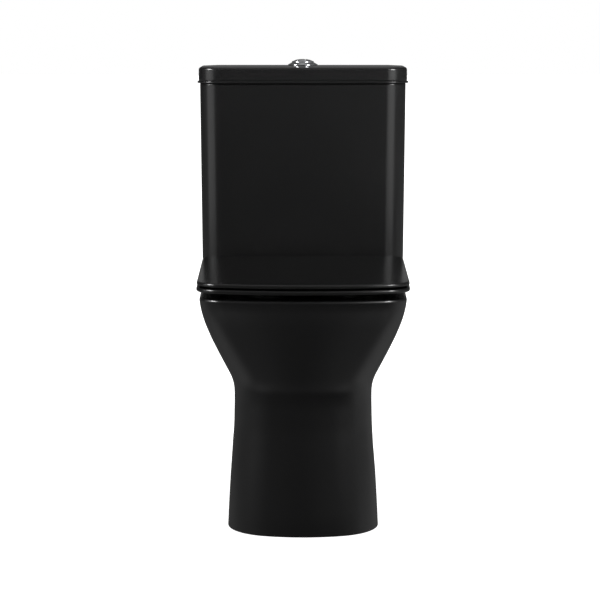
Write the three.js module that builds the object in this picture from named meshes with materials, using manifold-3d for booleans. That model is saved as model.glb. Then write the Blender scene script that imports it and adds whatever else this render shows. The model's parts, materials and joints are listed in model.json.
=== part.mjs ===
// A close coupled toilet: a ceramic pan with a hinged seat and lid, and a cistern bolted on its rear deck.
// Millimetres, +Z up. The floor is z = 0, the front faces -Y and x = 0 is the plane of symmetry.
// Each piece is a closed solid. Pieces that touch keep GAP between them.
import * as THREE from 'three';
import { mergeVertices } from 'three/addons/utils/BufferGeometryUtils.js';
import Module from 'manifold-3d';

const wasm = await Module();
wasm.setup();

// ---- driving dimensions ----
const GAP = 0.3;
const SIDES = 20;
const FRONT = -318;
const WALL = 12;
const RIM_Z = 413;
const DECK_UNDER_Z = 398;
const PAN_BACK = 300;
const SHOULDER = { start: 108, end: 205 };

const SEAT = {
  half: 178, front: FRONT, frontRadius: 560, cornerRadius: 52, widening: 0.016,
  ringBottom: 423.2, ringTop: 430.4, ringBack: 86,
  lidBottom: 433.6, lidTop: 441, lidBack: 115,
};
const APERTURE = { half: 108, front: -246, back: 20, power: 2.6 };
const BUFFER = { frontX: 148, rearX: 150, ringFrontY: -205, ringRearY: 34, lidFrontY: -236, lidRearY: 56 };
const HINGE = {
  y: 101, z: 430, x: 78, boltY: 88, pin: 3, bush: 5.2, knuckle: 7,
  ringEye: [89, 110], lidEye: [51, 68], pocket: [69.5, 112], deckHole: 7, flange: 2.5, nut: 12.7,
};

const CISTERN = {
  y: 234, front: 156, back: 313, bottom: 419, floor: 431, top: 753.7, wall: 11, frontRadius: 4200,
};
const LID = { front: 150, back: 318, bottom: 754, plate: 775, top: 784.2, half: 195.6 };
const BUTTON = { bezel: 27.6, collar: 20.4, bore: 18.2, cap: 17.8, top: 795.8, split: 4, rodBottom: 716.5 };
const VALVE = {
  tail: 31, bore: 27, tailEnd: 392, flange: 44, under: 434.6, seat: 446, tube: 450, guide: 560, head: 708,
};
const FILL = { x: -146, tail: 10.3, bore: 6, tailEnd: 374, riser: 9, head: 722 };
const FLOAT = { low: 540, high: 590, radius: 24, wall: 2.5 };
const ARM = { pivotX: -132, z: 731, length: 42, rise: 10 };
const COUPLING = { x: 84, hole: 6, bolt: 3.9, washer: 2, nut: 9.8 };
const WALL_SCREW = { x: 100, z: 705, hole: 3.5 };
const OUTLET = { z: 180, end: 245, bore: 42, outside: 51 };
const FIXING = { x: 117, y: 25, ledge: 55, top: 112, hole: 6.5, halfLength: 33, flange: 2.6 };
const WATERWAY = { half: 45, bottom: 345, recess: 56, recessZ: 391.3, neck: 34 };
const GASKET = 3;

// Outside of the pan: half width and setback from the seat's front, level by level.
const PAN_LEVELS = [
  { z: 0, half: 127.4, setback: 76.6, frontRadius: 230, cornerRadius: 88, rear: 131.8 },
  { z: 4, half: 130, setback: 74.2, frontRadius: 230, cornerRadius: 90, rear: 134.4 },
  { z: 28, half: 128.9, setback: 74.5, frontRadius: 230, cornerRadius: 90, rear: 134 },
  { z: 60, half: 127.2, setback: 76, frontRadius: 232, cornerRadius: 89, rear: 132 },
  { z: 100, half: 124.9, setback: 79, frontRadius: 236, cornerRadius: 88, rear: 130 },
  { z: 140, half: 121.5, setback: 82, frontRadius: 242, cornerRadius: 86, rear: 126.5 },
  { z: 180, half: 119.1, setback: 85, frontRadius: 250, cornerRadius: 84, rear: 124 },
  { z: 225, half: 118.3, setback: 87, frontRadius: 260, cornerRadius: 82, rear: 123 },
  { z: 246, half: 119.0, setback: 85.5, frontRadius: 268, cornerRadius: 81, rear: 123 },
  { z: 259, half: 122.0, setback: 80.5, frontRadius: 285, cornerRadius: 80, rear: 123 },
  { z: 280, half: 130.6, setback: 70, frontRadius: 320, cornerRadius: 77, rear: 123 },
  { z: 310, half: 143.8, setback: 53, frontRadius: 385, cornerRadius: 71, rear: 123 },
  { z: 340, half: 156.2, setback: 35.5, frontRadius: 450, cornerRadius: 64, rear: 122.5 },
  { z: 370, half: 165.9, setback: 19, frontRadius: 510, cornerRadius: 58, rear: 122.5 },
  { z: 393, half: 171.2, setback: 8.5, frontRadius: 545, cornerRadius: 54, rear: 122.5 },
  { z: 407, half: 173.4, setback: 4.5, frontRadius: 560, cornerRadius: 52, rear: 122.5 },
  { z: RIM_Z, half: 171.2, setback: 6.7, frontRadius: 560, cornerRadius: 50, rear: 120.3 },
];
// Inside of the bowl: an oval that shrinks towards the sump.
const BOWL_LEVELS = [
  { z: 98, half: 30, front: -84, back: 2, power: 2.2 },
  { z: 150, half: 43, front: -112, back: -4, power: 2.2 },
  { z: 200, half: 60, front: -146, back: -8, power: 2.3 },
  { z: 250, half: 80, front: -182, back: -8, power: 2.4 },
  { z: 300, half: 99, front: -216, back: -4, power: 2.6 },
  { z: 350, half: 118, front: -247, back: 2, power: 2.8 },
  { z: 392, half: 128, front: -272, back: 8, power: 2.8 },
  { z: RIM_Z + 1, half: 128, front: -272, back: 8, power: 2.8 },
];
// Centre line of the trap, from the sump over the weir to the outlet, as (y, z).
const TRAP_LINE = [[-40, 128], [0, 118], [40, 128], [72, 170], [90, 216], [126, 254], [164, 230], [188, 194]];

// ---- materials ----
const finish = (color, roughness, metalness) =>
  new THREE.MeshStandardMaterial({ color, roughness, metalness });
const BLACK_GLAZE = finish(0x1c1c1d, 0.35, 0);
const BLACK_PLASTIC = finish(0x1f1f20, 0.4, 0);
const CHROME = finish(0xc8ccd0, 0.12, 1);
const STEEL = finish(0x9a9da0, 0.35, 1);
const BRASS = finish(0xb08d3c, 0.35, 1);
const WHITE_PLASTIC = finish(0xe6e7e4, 0.45, 0);
const GREY_PLASTIC = finish(0x70757a, 0.5, 0);
const RUBBER = finish(0x242424, 0.85, 0);

// ---- solids ----
function solid(geometry) {
  const bare = geometry.clone();
  bare.deleteAttribute('normal');
  bare.deleteAttribute('uv');
  const merged = mergeVertices(bare, 1e-4);
  return new wasm.Manifold(new wasm.Mesh({
    numProp: 3,
    vertProperties: new Float32Array(merged.attributes.position.array),
    triVerts: new Uint32Array(merged.index.array),
  }));
}

function geometryOf(shape) {
  const mesh = shape.getMesh();
  const geometry = new THREE.BufferGeometry();
  geometry.setAttribute('position', new THREE.BufferAttribute(mesh.vertProperties, 3));
  geometry.setIndex(new THREE.BufferAttribute(mesh.triVerts, 1));
  geometry.computeVertexNormals();
  return geometry;
}

const join = (shapes) => shapes.reduce((whole, shape) => whole.add(shape));
const cut = (shape, tools) => tools.reduce((rest, tool) => rest.subtract(tool), shape);
const bothSides = (shape) => [shape, shape.mirror([1, 0, 0])];
const widened = ([low, high], by = 1) => [low - by, high + by];
const pairOf = ([low, high]) => [-high, -low];

function block([x0, x1], [y0, y1], [z0, z1]) {
  const geometry = new THREE.BoxGeometry(x1 - x0, y1 - y0, z1 - z0);
  return solid(geometry.translate((x0 + x1) / 2, (y0 + y1) / 2, (z0 + z1) / 2));
}

function upright(radius, [z0, z1], x, y, sides = SIDES) {
  const geometry = new THREE.CylinderGeometry(radius, radius, z1 - z0, sides);
  return solid(geometry.rotateX(Math.PI / 2).translate(x, y, (z0 + z1) / 2));
}

function crosswise(radius, [x0, x1], y, z, sides = SIDES) {
  const geometry = new THREE.CylinderGeometry(radius, radius, x1 - x0, sides);
  return solid(geometry.rotateZ(Math.PI / 2).translate((x0 + x1) / 2, y, z));
}

function lengthwise(radius, [y0, y1], x, z, sides = SIDES) {
  const geometry = new THREE.CylinderGeometry(radius, radius, y1 - y0, sides);
  return solid(geometry.translate(x, (y0 + y1) / 2, z));
}

// A turned piece: the profile is (radius, z), anticlockwise, closed on itself or on the axis.
function turned(profile, x, y, sides = SIDES) {
  const points = profile.map(([radius, z]) => new THREE.Vector2(radius, z));
  if (profile[0][0] > 0) points.push(points[0].clone());
  return solid(new THREE.LatheGeometry(points, sides).rotateX(Math.PI / 2).translate(x, y, 0));
}

const sleeve = (inside, outside, [z0, z1], x, y, sides = SIDES) =>
  turned([[inside, z0], [outside, z0], [outside, z1], [inside, z1]], x, y, sides);

// A nut: flat sides outside, a round bore inside.
const nut = (inside, outside, [z0, z1], x, y, flats) =>
  upright(outside, [z0, z1], x, y, flats).subtract(upright(inside, [z0 - 1, z1 + 1], x, y, 32));

// A round bar along a curve in the plane x = 0.
function bent(line, radius, steps) {
  const points = line.map(([y, z]) => new THREE.Vector3(0, y, z));
  const path = new THREE.CatmullRomCurve3(points, false, 'centripetal');
  const section = new THREE.Shape().absarc(0, 0, radius, 0, 2 * Math.PI);
  return solid(new THREE.ExtrudeGeometry(section, { extrudePath: path, steps, curveSegments: 7 }));
}

// A solid through closed rings of points, each at its own height and anticlockwise from above.
function loft(rings) {
  const count = rings[0].length;
  const position = rings.flat().flatMap((point) => [point.x, point.y, point.z]);
  const index = [];
  for (let level = 0; level + 1 < rings.length; level += 1) {
    for (let i = 0; i < count; i += 1) {
      const a = level * count + i;
      const b = level * count + ((i + 1) % count);
      index.push(a, b, b + count, a, b + count, a + count);
    }
  }
  const close = (ring, start, upward) => {
    const middle = ring.reduce((sum, point) => sum.add(point), new THREE.Vector3()).divideScalar(count);
    const centre = position.length / 3;
    position.push(middle.x, middle.y, middle.z);
    for (let i = 0; i < count; i += 1) {
      const next = start + ((i + 1) % count);
      index.push(centre, upward ? start + i : next, upward ? next : start + i);
    }
  };
  close(rings[0], 0, false);
  close(rings[rings.length - 1], (rings.length - 1) * count, true);
  const geometry = new THREE.BufferGeometry();
  geometry.setAttribute('position', new THREE.Float32BufferAttribute(position, 3));
  geometry.setIndex(index);
  return solid(geometry);
}

// ---- outlines ----
const arc = (x, y, radius, from, to, steps) =>
  Array.from({ length: steps }, (_, i) => {
    const angle = from + ((to - from) * i) / steps;
    return [x + radius * Math.sin(angle), y - radius * Math.cos(angle)];
  });

const mirrored = (right, z) => {
  const left = right.slice(1, -1).reverse().map(([x, y]) => [-x, y]);
  return [...right, ...left].map(([x, y]) => new THREE.Vector3(x, y, z));
};

// A plan with a bowed front, round front corners and sides that widen, narrow at the shoulder and end square.
function plan(shape, z) {
  const { half, front, back, frontRadius, cornerRadius, backRadius, widening = 0, rear } = shape;
  const lean = Math.asin((half - cornerRadius) / (frontRadius - cornerRadius));
  const cornerY = front + frontRadius - (frontRadius - cornerRadius) * Math.cos(lean);
  const right = [
    ...arc(0, front + frontRadius, frontRadius, 0, lean, 4),
    ...arc(half - cornerRadius, cornerY, cornerRadius, lean, Math.PI / 2, 5),
    [half, cornerY],
  ];
  const sideEnd = rear === undefined ? back - backRadius : SHOULDER.start;
  const wide = half + widening * (sideEnd - cornerY);
  const narrow = rear ?? wide;
  if (rear !== undefined) {
    const steps = 4;
    for (let i = 0; i < steps; i += 1) {
      const share = i / steps;
      const ease = (1 + Math.cos(Math.PI * share)) / 2;
      const y = SHOULDER.start + (SHOULDER.end - SHOULDER.start) * share;
      right.push([narrow + (wide - narrow) * ease, y]);
    }
  }
  const end = arc(narrow - backRadius, back - backRadius, backRadius, Math.PI / 2, Math.PI, 3);
  right.push(...end, [narrow - backRadius, back], [0, back]);
  return mirrored(right, z);
}

function oval({ half, front, back, power }, z, grow = 0) {
  const steps = 32;
  const middle = (front + back) / 2;
  const reach = (back - front) / 2 + grow;
  const bulge = (value) => Math.sign(value) * Math.abs(value) ** (2 / power);
  return Array.from({ length: steps }, (_, i) => {
    const angle = (2 * Math.PI * i) / steps;
    const x = (half + grow) * bulge(Math.cos(angle));
    return new THREE.Vector3(x, middle + reach * bulge(Math.sin(angle)), z);
  });
}

// ---- pan ----
function panPlan(level, inward, back) {
  return plan({
    half: level.half - inward,
    front: FRONT + level.setback + inward,
    back,
    frontRadius: level.frontRadius - inward,
    cornerRadius: level.cornerRadius - inward,
    backRadius: 6,
    widening: 0.018,
    rear: level.rear - inward,
  }, level.z);
}

function panHollow() {
  const flangeWidth = 26;
  const flangeTop = 18;
  const open = PAN_BACK + 40;
  const foot = PAN_LEVELS[1];
  const rings = [
    panPlan({ ...foot, z: -1 }, flangeWidth, open),
    panPlan({ ...foot, z: flangeTop }, flangeWidth, open),
    ...PAN_LEVELS.slice(2, -2).filter((_, i) => i % 2 === 0).map((level) => panPlan(level, WALL, open)),
    panPlan({ ...PAN_LEVELS.at(-3), z: DECK_UNDER_Z }, WALL, open),
  ];
  return cut(loft(rings), [bowlShell(WALL)]);
}

// The bowl's inside grown on every side, up to above the rim.
function bowlShell(thickness) {
  const walls = BOWL_LEVELS.map((level) => oval(level, level.z - thickness, thickness));
  return loft([...walls, oval(BOWL_LEVELS.at(-1), RIM_Z + 1, thickness)]);
}

function panTrap() {
  const outer = bent([...TRAP_LINE, [212, OUTLET.z], [OUTLET.end - 4, OUTLET.z]], 38, 16);
  const spigot = lengthwise(OUTLET.outside, [203, OUTLET.end], 0, OUTLET.z, 32);
  return outer.add(spigot);
}

function panWaterway() {
  const { half, bottom, recess } = WATERWAY;
  const channel = block([-half, half], [-4, CISTERN.y], [bottom, RIM_Z - 1]);
  return channel.add(upright(recess + 9, [bottom, RIM_Z - 1], 0, CISTERN.y, 32));
}

function panPassages() {
  const { half, bottom, recess, recessZ, neck } = WATERWAY;
  const trap = bent([...TRAP_LINE, [212, OUTLET.z], [OUTLET.end + 8, OUTLET.z]], 27, 16);
  const socket = lengthwise(OUTLET.bore, [222, OUTLET.end + 1], 0, OUTLET.z, 32);
  const channel = block([WALL - half, half - WALL], [-30, CISTERN.y], [bottom + WALL, bottom + 42]);
  const drop = upright(neck, [bottom + WALL, RIM_Z + 1], 0, CISTERN.y, 32);
  const seat = upright(recess, [recessZ, RIM_Z + 1], 0, CISTERN.y, 32);
  return [trap, socket, channel, drop, seat];
}

function panFixingBoss() {
  const { x, y, top, halfLength } = FIXING;
  const reach = halfLength + WALL + 7;
  return block([x - 30, x + 40], [y - reach, y + reach], [0, top + WALL]);
}

function panFixingCuts() {
  const { x, y, ledge, top, hole, halfLength } = FIXING;
  const pocket = block([x - 13, x + 40], [y - halfLength, y + halfLength], [ledge, top]);
  return [pocket, upright(hole, [-1, ledge + 1], x, y)];
}

function panCasting() {
  const outside = loft(PAN_LEVELS.map((level) => panPlan(level, 0, PAN_BACK)));
  const bosses = bothSides(panFixingBoss()).map((boss) => boss.intersect(outside));
  const shell = join([cut(outside, [panHollow()]), ...bosses, panTrap(), panWaterway()]);
  const deck = [DECK_UNDER_Z - 9, RIM_Z + 1];
  const hinges = bothSides(upright(HINGE.deckHole, deck, HINGE.x, HINGE.boltY));
  const couplings = bothSides(upright(COUPLING.hole, deck, COUPLING.x, CISTERN.y));
  const bowl = loft(BOWL_LEVELS.map((level) => oval(level, level.z)));
  const fixings = panFixingCuts().flatMap(bothSides);
  return cut(shell, [bowl, ...panPassages(), ...hinges, ...couplings, ...fixings]);
}

// The casting is drawn whole and split into three simpler solids: pedestal, bowl and trapway.
function makePan() {
  const casting = panCasting();
  const around = casting.subtract(bowlShell(WALL + GAP)).decompose();
  const [pedestal, trapway] = around.sort((a, b) => b.volume() - a.volume());
  return { pedestal, bowl: casting.intersect(bowlShell(WALL)), trapway };
}

// ---- seat ----
function seatPlan(inward, z, back, backRadius) {
  return plan({
    half: SEAT.half - inward,
    front: SEAT.front + inward,
    back: back - inward,
    frontRadius: SEAT.frontRadius - inward,
    cornerRadius: SEAT.cornerRadius - inward,
    backRadius,
    widening: SEAT.widening,
  }, z);
}

function seatPlate(bottom, top, back, backRadius, inset) {
  return loft([
    seatPlan(inset + 2.2, bottom, back, backRadius),
    seatPlan(inset, bottom + 1.6, back, backRadius),
    seatPlan(inset, top - 2.2, back, backRadius),
    seatPlan(inset + 1, top - 0.8, back, backRadius),
    seatPlan(inset + 3.2, top, back, backRadius),
  ]);
}

function makeSeatRing() {
  const { y, z, knuckle, bush, ringEye } = HINGE;
  const plate = seatPlate(SEAT.ringBottom, SEAT.ringTop, SEAT.ringBack, 24, 0);
  const hole = loft([oval(APERTURE, SEAT.ringBottom - 1), oval(APERTURE, SEAT.ringTop + 1)]);
  const eyes = bothSides(crosswise(knuckle, ringEye, y, z));
  const armSpan = [SEAT.ringBottom + 0.8, SEAT.ringTop - 0.4];
  const arms = bothSides(block(ringEye, [SEAT.ringBack - 10, y], armSpan));
  const bores = bothSides(crosswise(bush + GAP, widened(ringEye), y, z));
  return cut(join([plate, ...eyes, ...arms]), [hole, ...bores]);
}

function makeSeatLid() {
  const { y, z, knuckle, bush, lidEye, pocket } = HINGE;
  const plate = seatPlate(SEAT.lidBottom, SEAT.lidTop, SEAT.lidBack, 30, 0.7);
  const pocketTop = SEAT.lidTop - 3;
  const pockets = bothSides(block(pocket, [y - 13, SEAT.lidBack + 1], [z, pocketTop]));
  const eyes = bothSides(crosswise(knuckle, lidEye, y, z));
  const webs = bothSides(block(lidEye, [y - 6, y + 6], [z, pocketTop]));
  const bores = bothSides(crosswise(bush + GAP, widened(lidEye), y, z));
  return cut(join([cut(plate, pockets), ...eyes, ...webs]), bores);
}

const ringBuffer = (x, y) =>
  block([x - 11, x + 11], [y - 6, y + 6], [RIM_Z + GAP, SEAT.ringBottom - GAP]);

const lidBuffer = (x, y) => upright(6, [SEAT.ringTop + GAP, SEAT.lidBottom - GAP], x, y, 16);

const hingeBush = (eye) => {
  const { y, z, pin, bush } = HINGE;
  const span = widened(eye, -0.6);
  return crosswise(bush, span, y, z).subtract(crosswise(pin + GAP, widened(span), y, z));
};

function hingePost() {
  const { x, y, z, boltY, pin } = HINGE;
  const foot = RIM_Z + GAP;
  const disc = upright(14, [foot, foot + 4.2], x, boltY);
  const stem = block([x - 6, x + 6], [y - 6, y + 6], [foot, z]);
  const eye = crosswise(6.5, [x - 6, x + 6], y, z);
  const bolt = upright(pin + 0.4, [foot - 1, z], x, boltY);
  const bore = crosswise(pin + GAP, [x - 7, x + 7], y, z);
  return cut(join([disc, stem, eye]), [bolt, bore]);
}

const hingePin = () => crosswise(HINGE.pin, [HINGE.lidEye[0] - 1, HINGE.ringEye[1] + 2], HINGE.y, HINGE.z);

// A screw standing on its tip: shank and head, from the tip up.
const screw = (shank, head, [tip, under, top], x, y, headSides) =>
  upright(shank, [tip, under + 1], x, y, 16).add(upright(head, [under, top], x, y, headSides));

function wingNut(hole, [z0, z1], x, y) {
  const hub = upright(hole + 3.4, [z0, z1], x, y, 16);
  const wings = block([x - 1.5, x + 1.5], [y - 15, y + 15], [z0, z1 - 2.5]);
  return hub.add(wings).subtract(upright(hole, [z0 - 1, z1 + 1], x, y, 16));
}

// The plastic nut of a hinge, with the flange that bears on the deck moulded on.
function flangedNut() {
  const { x, boltY, nut: height, flange } = HINGE;
  const bore = HINGE.pin + 0.4;
  return wingNut(bore, underDeck(height), x, boltY).add(sleeve(bore, 11, underDeck(flange), x, boltY, 16));
}

// ---- cistern ----
function cisternPlan(half, z, inward = 0) {
  return plan({
    half: half - inward,
    front: CISTERN.front + inward + (CISTERN.top - z) * 0.008,
    back: CISTERN.back - inward,
    frontRadius: CISTERN.frontRadius - inward,
    cornerRadius: 40 - inward,
    backRadius: 14 - inward / 2,
  }, z);
}

function makeCisternBody() {
  const { y, bottom, floor, top, wall } = CISTERN;
  const outside = loft([
    cisternPlan(187.6, bottom, 5),
    cisternPlan(187.7, bottom + 3, 1),
    cisternPlan(187.8, bottom + 9),
    cisternPlan(189.4, 620),
    cisternPlan(190.6, top - 3.6),
    cisternPlan(190.6, top - 1, 0.9),
    cisternPlan(190.6, top, 2.6),
  ]);
  const inside = loft([
    cisternPlan(187.8, floor, wall + 6),
    cisternPlan(187.9, floor + 8, wall),
    cisternPlan(190.6, top + 1, wall),
  ]);
  const base = widened([bottom, floor]);
  const outletHole = upright(VALVE.tail + 1.5, base, 0, y, 32);
  const bolts = bothSides(upright(COUPLING.hole - 0.5, base, COUPLING.x, y));
  const inlets = bothSides(upright(FILL.tail + 0.9, base, -FILL.x, y));
  const rear = [CISTERN.back - 2 * wall, CISTERN.back + 1];
  const wallHoles = bothSides(lengthwise(WALL_SCREW.hole, rear, WALL_SCREW.x, WALL_SCREW.z, 16));
  return cut(outside, [inside, outletHole, ...bolts, ...inlets, ...wallHoles]);
}

function lidPlan(inward, z) {
  return plan({
    half: LID.half - inward,
    front: LID.front + inward,
    back: LID.back - inward,
    frontRadius: CISTERN.frontRadius - inward,
    cornerRadius: 44 - Math.min(inward, 38),
    backRadius: Math.max(18 - inward, 4),
  }, z);
}

function makeCisternLid() {
  const { bottom, plate, top } = LID;
  const outside = loft([
    lidPlan(1.6, bottom),
    lidPlan(0, bottom + 1.8),
    lidPlan(0.6, 766),
    lidPlan(1.8, 777),
    lidPlan(3.4, 780.4),
    lidPlan(6.2, 782),
    lidPlan(12, 782.9),
    lidPlan(45, top),
  ]);
  const under = loft([lidPlan(13.5, bottom - 1), lidPlan(14.5, plate)]);
  const rib = loft([lidPlan(18.5, bottom - 7), lidPlan(18, plate + 1)]);
  const ribInside = loft([lidPlan(24, bottom - 8), lidPlan(24, plate)]);
  const buttonHole = upright(BUTTON.collar + 0.1, [plate - 1, top + 1], 0, CISTERN.y, 32);
  return cut(cut(outside, [under]).add(cut(rib, [ribInside])), [buttonHole]);
}

// ---- flush button ----
function buttonBezel() {
  const { bezel, collar, bore } = BUTTON;
  const foot = LID.top + GAP;
  return turned([
    [bore, 757], [collar - 0.6, 757], [collar - 0.6, foot], [bezel, foot], [bezel, foot + 1.8],
    [bezel - 2, foot + 3.8], [collar + 0.4, foot + 5.6], [collar - 0.8, foot + 6.6],
    [collar - 1.4, foot + 7.4], [bore, foot + 7.4],
  ], 0, CISTERN.y, 24);
}

function buttonHalf([x0, x1]) {
  const { cap, top } = BUTTON;
  const base = LID.top + 1.6;
  const dome = turned([
    [0, base], [cap, base], [cap, top - 4.2], [cap - 2.8, top - 1.9], [cap - 8, top - 0.5], [0, top],
  ], 0, CISTERN.y, 24);
  return dome.intersect(block([x0, x1], [CISTERN.y - 30, CISTERN.y + 30], [base - 1, top + 1]));
}

const pushRod = (x) => upright(2.5, [BUTTON.rodBottom, LID.top + 1.6 - GAP], x, CISTERN.y, 12);

// ---- flush valve ----
function flushTower() {
  const { tail, bore, tailEnd, flange, under, seat, guide, head } = VALVE;
  const y = CISTERN.y;
  const base = turned([
    [bore, tailEnd], [tail, tailEnd], [tail, under], [flange, under], [flange, under + 4.4],
    [34, under + 6], [34, seat], [30.5, seat], [bore, seat - 6],
  ], 0, y, 32);
  const legs = [45, 135, 225, 315].map((degrees) => {
    const leg = new THREE.BoxGeometry(6, 9, head - under - 2).translate(39, 0, (head + under) / 2);
    return solid(leg.rotateZ(THREE.MathUtils.degToRad(degrees)).translate(0, y, 0));
  });
  const collar = sleeve(14.8, 42, [guide, guide + 5], 0, y);
  const cap = upright(42, [head - 6, head], 0, y);
  return join([base, ...legs, collar, cap]);
}

function overflowTube() {
  const { tube } = VALVE;
  const top = 672;
  return turned([[11, tube], [34, tube], [34, tube + 3], [14, tube + 9], [14, top], [11, top]], 0, CISTERN.y);
}

function doughnutWasher() {
  const { neck, recessZ, recess } = WATERWAY;
  const low = recessZ + GAP;
  return turned([
    [neck - 0.5, low], [recess - 1.5, low], [recess - 1.5, CISTERN.bottom - GAP],
    [43.4, CISTERN.bottom - GAP], [43.4, low + 10], [neck - 0.5, low + 10],
  ], 0, CISTERN.y, 32);
}

// ---- fill valve ----
function fillValveBody() {
  const { x, tail, bore, tailEnd, riser, head } = FILL;
  const { under } = VALVE;
  const body = turned([
    [0, 680], [bore, 680], [bore, tailEnd], [tail, tailEnd], [tail, under], [17, under], [17, under + 4],
    [riser, under + 6], [riser, 690], [17, 694], [17, head], [0, head],
  ], x, CISTERN.y, 24);
  const lug = block([ARM.pivotX - 5, ARM.pivotX + 5], [CISTERN.y - 3, CISTERN.y + 3], [head - 2, ARM.z + 5]);
  const pivot = lengthwise(2.4, [CISTERN.y - 9, CISTERN.y + 9], ARM.pivotX, ARM.z, 16);
  return body.add(lug).subtract(pivot);
}

function fillFloat() {
  const { x, riser } = FILL;
  const { low, high, radius, wall } = FLOAT;
  const sleeveIn = riser + 0.9;
  const sleeveOut = sleeveIn + wall;
  const cup = turned([
    [sleeveIn, low], [radius, low], [radius, high], [radius - wall, high], [radius - wall, low + 3],
    [sleeveOut, low + 3], [sleeveOut, high], [sleeveIn, high],
  ], x, CISTERN.y, 24);
  const lug = block([x + radius - 2, ROD_X + 4.5], [CISTERN.y - 4.5, CISTERN.y + 4.5], [high - 6, high]);
  return cup.add(lug).subtract(upright(1.8, [high - 7, high + 1], ROD_X, CISTERN.y, 12));
}

const TILT = Math.asin(ARM.rise / ARM.length);
const ROD_X = ARM.pivotX + ARM.length * (1 + Math.cos(TILT)) / 2;

// The rod hangs from the slot at the arm's end between two collars.
function floatRod() {
  const y = CISTERN.y;
  const armZ = ARM.z - ARM.rise;
  const stem = upright(1.5, [FLOAT.high - 10, armZ + 8], ROD_X, y, 12);
  const spans = [[armZ + 4.2, armZ + 6.6], [armZ - 6.6, armZ - 4.2]];
  const collars = spans.map((span) => upright(3.2, span, ROD_X, y, 12));
  return join([stem, ...collars]);
}

// The arm is drawn level about its pivot, then tilted down to where it rests with the cistern empty.
function floatArm() {
  const cheeks = [[-7, -3.4], [3.4, 7]].map((span) => block([-5, 14], span, [-3.5, 3.5]));
  const beam = block([10, ARM.length + 7], [-7, 7], [-2, 2]);
  const pin = lengthwise(2, [-6.5, 6.5], 0, 0, 16);
  const slot = block([ARM.length - 4, ARM.length + 3.4], [-2.2, 2.2], [-3, 3]);
  const arm = join([...cheeks, beam, pin]).subtract(slot);
  return arm.rotate([0, THREE.MathUtils.radToDeg(TILT), 0]).translate([ARM.pivotX, CISTERN.y, ARM.z]);
}

// ---- floor fixings ----
function floorBush() {
  const { x, y, ledge, hole, flange } = FIXING;
  const foot = ledge + GAP;
  const top = foot + flange;
  return turned([[3.6, 1], [hole - GAP, 1], [hole - GAP, foot], [12, foot], [12, top], [3.6, top]], x, y, 24);
}

function screwCap() {
  const { x, y, ledge, flange } = FIXING;
  const foot = ledge + flange + 2 * GAP;
  return turned([
    [0, foot + 6], [8.4, foot + 6], [8.4, foot], [11, foot], [11, foot + 4.5],
    [9, foot + 7.6], [5, foot + 9], [0, foot + 9.4],
  ], x, y, 24);
}

function floorScrew() {
  const { x, y, ledge, flange } = FIXING;
  const under = ledge + flange + 2 * GAP;
  return screw(3.2, 7, [1, under, under + 4.4], x, y, 16);
}

// The span of a washer or nut that is drawn up below the deck, or below what already hangs there.
function underDeck(thickness, below = 0) {
  const top = DECK_UNDER_Z - GAP - below;
  return [top - thickness, top];
}

// The span of a gasket that lies on the cistern's floor.
const onFloor = (thickness) => [CISTERN.floor + GAP, CISTERN.floor + GAP + thickness];

// ---- the whole toilet ----
const toilet = new THREE.Group();

function add(name, shape, material) {
  const mesh = new THREE.Mesh(geometryOf(shape), material);
  mesh.name = name;
  toilet.add(mesh);
}

function addPair(name, shape, material) {
  const [right, left] = bothSides(shape);
  add(`${name}_left`, left, material);
  add(`${name}_right`, right, material);
}

const pan = makePan();
add('pan_pedestal', pan.pedestal, BLACK_GLAZE);
add('pan_bowl', pan.bowl, BLACK_GLAZE);
add('pan_trapway', pan.trapway, BLACK_GLAZE);
add('cistern_body', makeCisternBody(), BLACK_GLAZE);
add('cistern_lid', makeCisternLid(), BLACK_GLAZE);

add('seat_ring', makeSeatRing(), BLACK_PLASTIC);
add('seat_lid', makeSeatLid(), BLACK_PLASTIC);
addPair('ring_buffer_front', ringBuffer(BUFFER.frontX, BUFFER.ringFrontY), RUBBER);
addPair('ring_buffer_rear', ringBuffer(BUFFER.rearX, BUFFER.ringRearY), RUBBER);
addPair('lid_buffer_front', lidBuffer(BUFFER.frontX, BUFFER.lidFrontY), RUBBER);
addPair('lid_buffer_rear', lidBuffer(BUFFER.rearX, BUFFER.lidRearY), RUBBER);
addPair('hinge_post', hingePost(), CHROME);
addPair('hinge_pin', hingePin(), STEEL);
add('ring_damper', hingeBush(HINGE.ringEye), GREY_PLASTIC);
add('ring_bush', hingeBush(pairOf(HINGE.ringEye)), GREY_PLASTIC);
add('lid_bush', hingeBush(HINGE.lidEye), GREY_PLASTIC);
add('lid_damper', hingeBush(pairOf(HINGE.lidEye)), GREY_PLASTIC);
addPair('hinge_bolt', screw(3, 6, [381, 417.8, 421.2], HINGE.x, HINGE.boltY, 16), STEEL);
addPair('hinge_wing_nut', flangedNut(), WHITE_PLASTIC);

add('button_bezel', buttonBezel(), CHROME);
add('button_nut', nut(BUTTON.collar, 28, [762, LID.plate - GAP], 0, CISTERN.y, 12), WHITE_PLASTIC);
add('button_full', buttonHalf([-30, BUTTON.split]), CHROME);
add('button_half', buttonHalf([BUTTON.split + 0.8, 30]), CHROME);
add('push_rod_full', pushRod(-7), WHITE_PLASTIC);
add('push_rod_half', pushRod(11), WHITE_PLASTIC);

const nutTop = CISTERN.bottom - GAP;
add('flush_valve_tower', flushTower(), WHITE_PLASTIC);
add('overflow_tube', overflowTube(), WHITE_PLASTIC);
add('flush_seal', sleeve(24, 35, [VALVE.seat + GAP, VALVE.tube - GAP], 0, CISTERN.y), RUBBER);
add('flush_gasket', nut(VALVE.tail + GAP, 43, onFloor(GASKET), 0, CISTERN.y, 24), RUBBER);
add('flush_backnut', nut(VALVE.tail + GAP, 43, [402, nutTop], 0, CISTERN.y, 12), WHITE_PLASTIC);
add('doughnut_washer', doughnutWasher(), RUBBER);

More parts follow.
